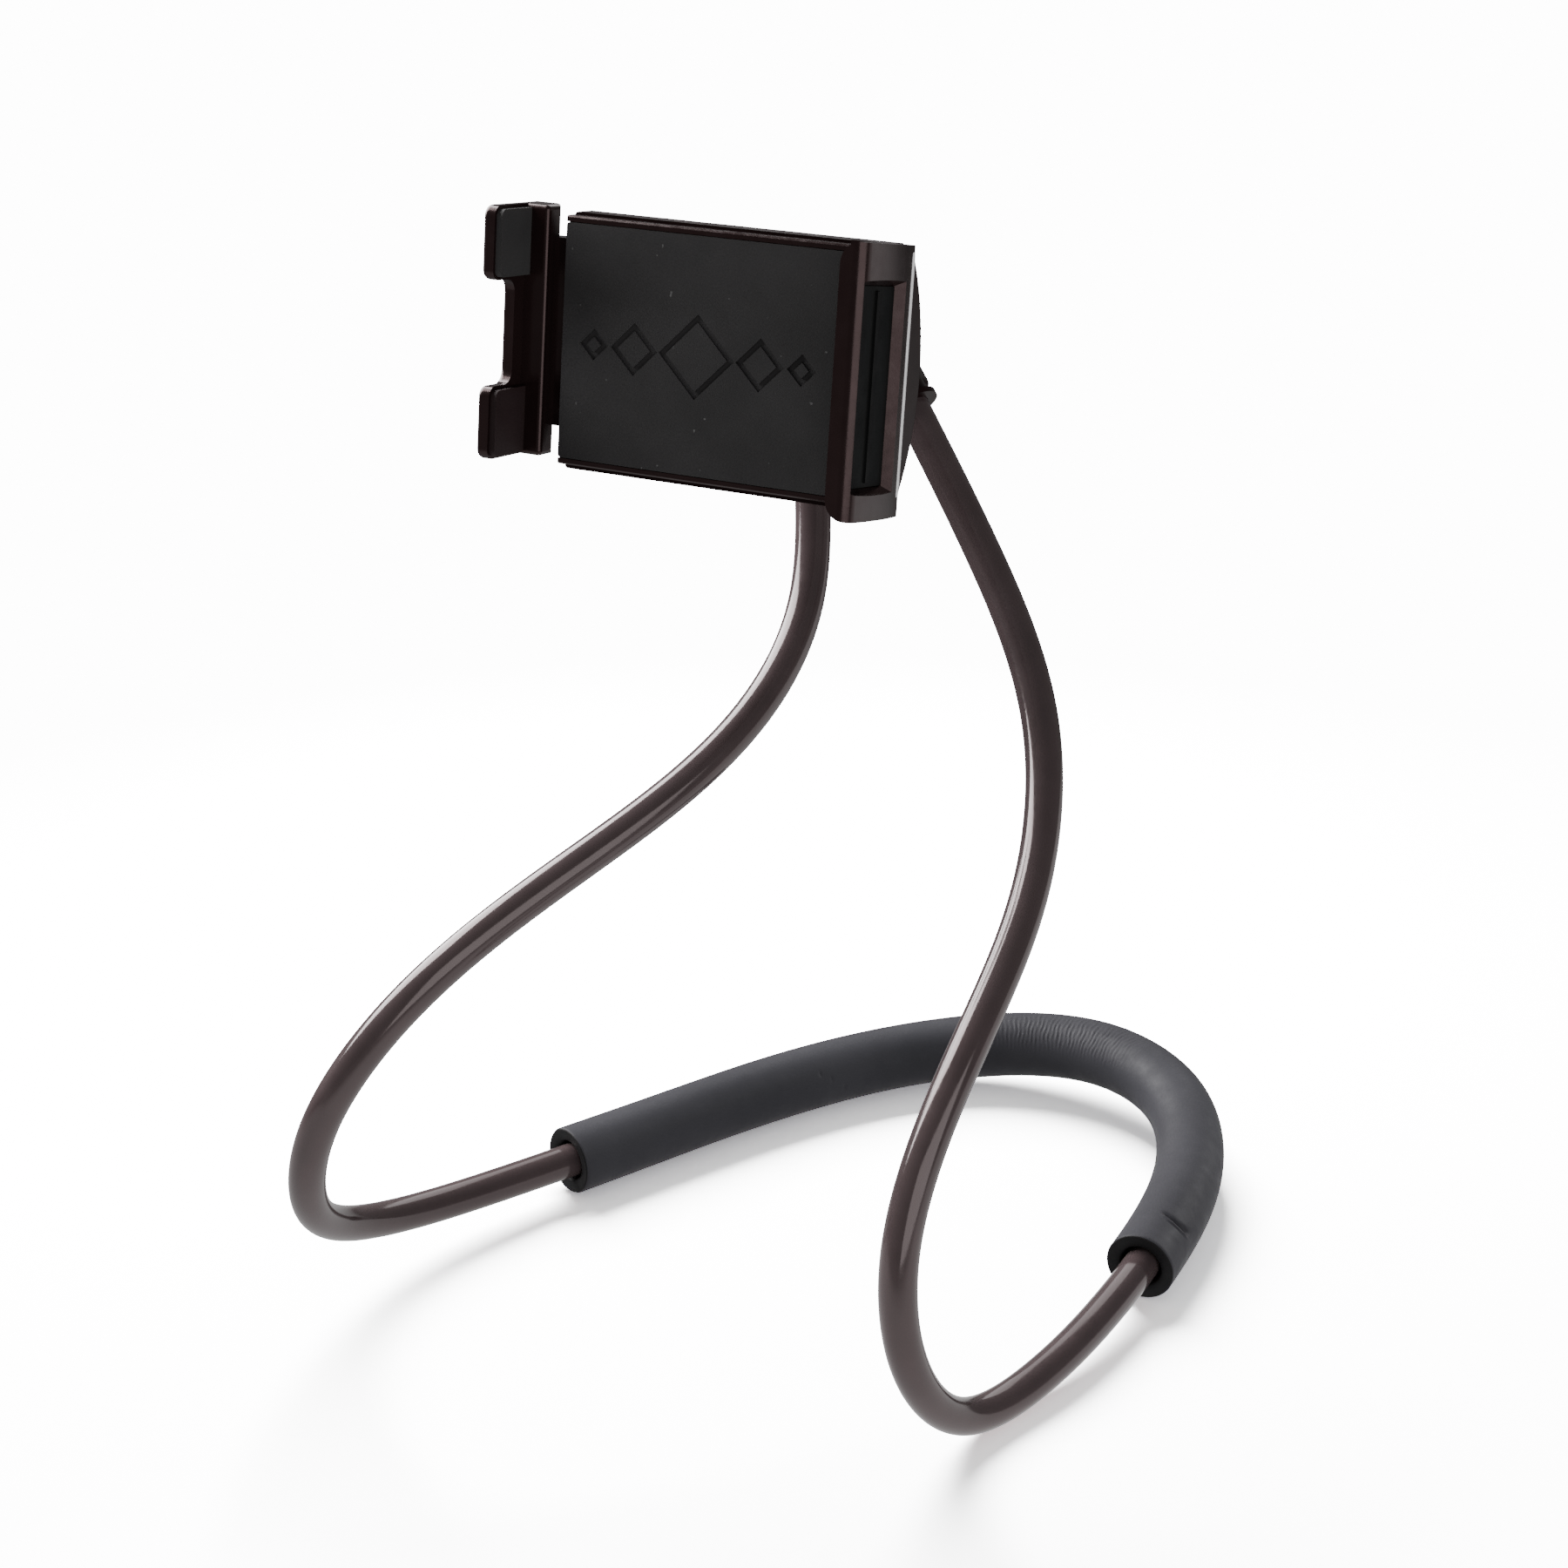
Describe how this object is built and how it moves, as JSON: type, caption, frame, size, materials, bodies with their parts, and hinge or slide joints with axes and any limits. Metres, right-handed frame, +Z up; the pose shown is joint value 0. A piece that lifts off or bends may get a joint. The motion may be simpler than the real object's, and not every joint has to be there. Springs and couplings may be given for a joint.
{
  "type": "neck phone holder",
  "caption": "Neck-worn phone holder: a foam-padded bendable loop carries a ball-jointed spring clamp with a fixed jaw and a sliding jaw.",
  "frame": {"origin": "on the floor, under the middle of the part's footprint", "axes": "+Z up, the clamp's face looks along -Y, +X is towards the fixed jaw"},
  "size_m": [0.2344, 0.2764, 0.3321],
  "materials": {
    "sleeve": "gloss dark brown sleeve",
    "core_wire": "drawn wire",
    "foam": "matte closed-cell foam",
    "moulding": "satin brown-black moulding",
    "pad_rubber": "matte black rubber",
    "stud": "smooth black nylon",
    "liner": "matte acetal",
    "steel": "zinc-plated steel"
  },
  "bodies": {
    "loop": {"gooseneck_core": "core_wire", "gooseneck_sleeve": "sleeve", "neck_pad": "foam", "connector_front": "moulding", "connector_rear": "moulding", "connector_screws": "steel", "ball_stud": "stud"},
    "liner": {"ball_liner": "liner"},
    "clamp": {"ball_cup": "moulding", "cup_screw": "steel", "back_shell": "moulding", "front_plate": "moulding", "shell_screws": "steel", "face_pad": "pad_rubber", "fixed_jaw": "moulding", "fixed_jaw_grip": "pad_rubber", "jaw_foot_screws": "steel", "spring_posts": "steel", "jaw_springs": "steel"},
    "lock_nut": {"lock_nut": "moulding"},
    "slider": {"sliding_jaw": "moulding", "jaw_pad_upper": "pad_rubber", "jaw_pad_lower": "pad_rubber"}
  },
  "joints": [
    {"name": "clamp_turn", "type": "hinge", "parent": "loop", "child": "liner", "pos_m": [-0.01856, 0.02238, 0.28497], "axis": [0, 0.9114, -0.4115], "range_deg": [-90, 90]},
    {"name": "clamp_tilt", "type": "hinge", "parent": "liner", "child": "clamp", "pos_m": [-0.01856, 0.02238, 0.28497], "axis": [1, 0, 0], "range_deg": [-35, 18]},
    {"name": "nut_turn", "type": "hinge", "parent": "clamp", "child": "lock_nut", "pos_m": [-0.01856, 0.02238, 0.28497], "axis": [0, 0.9907, -0.1357], "continuous": true},
    {"name": "jaw_slide", "type": "slide", "parent": "clamp", "child": "slider", "axis": [-1, 0, 0], "range_m": [0, 0.07], "stiffness_N_per_m": 150, "springref_m": -0.03, "deforming": ["jaw_springs"]}
  ]
}
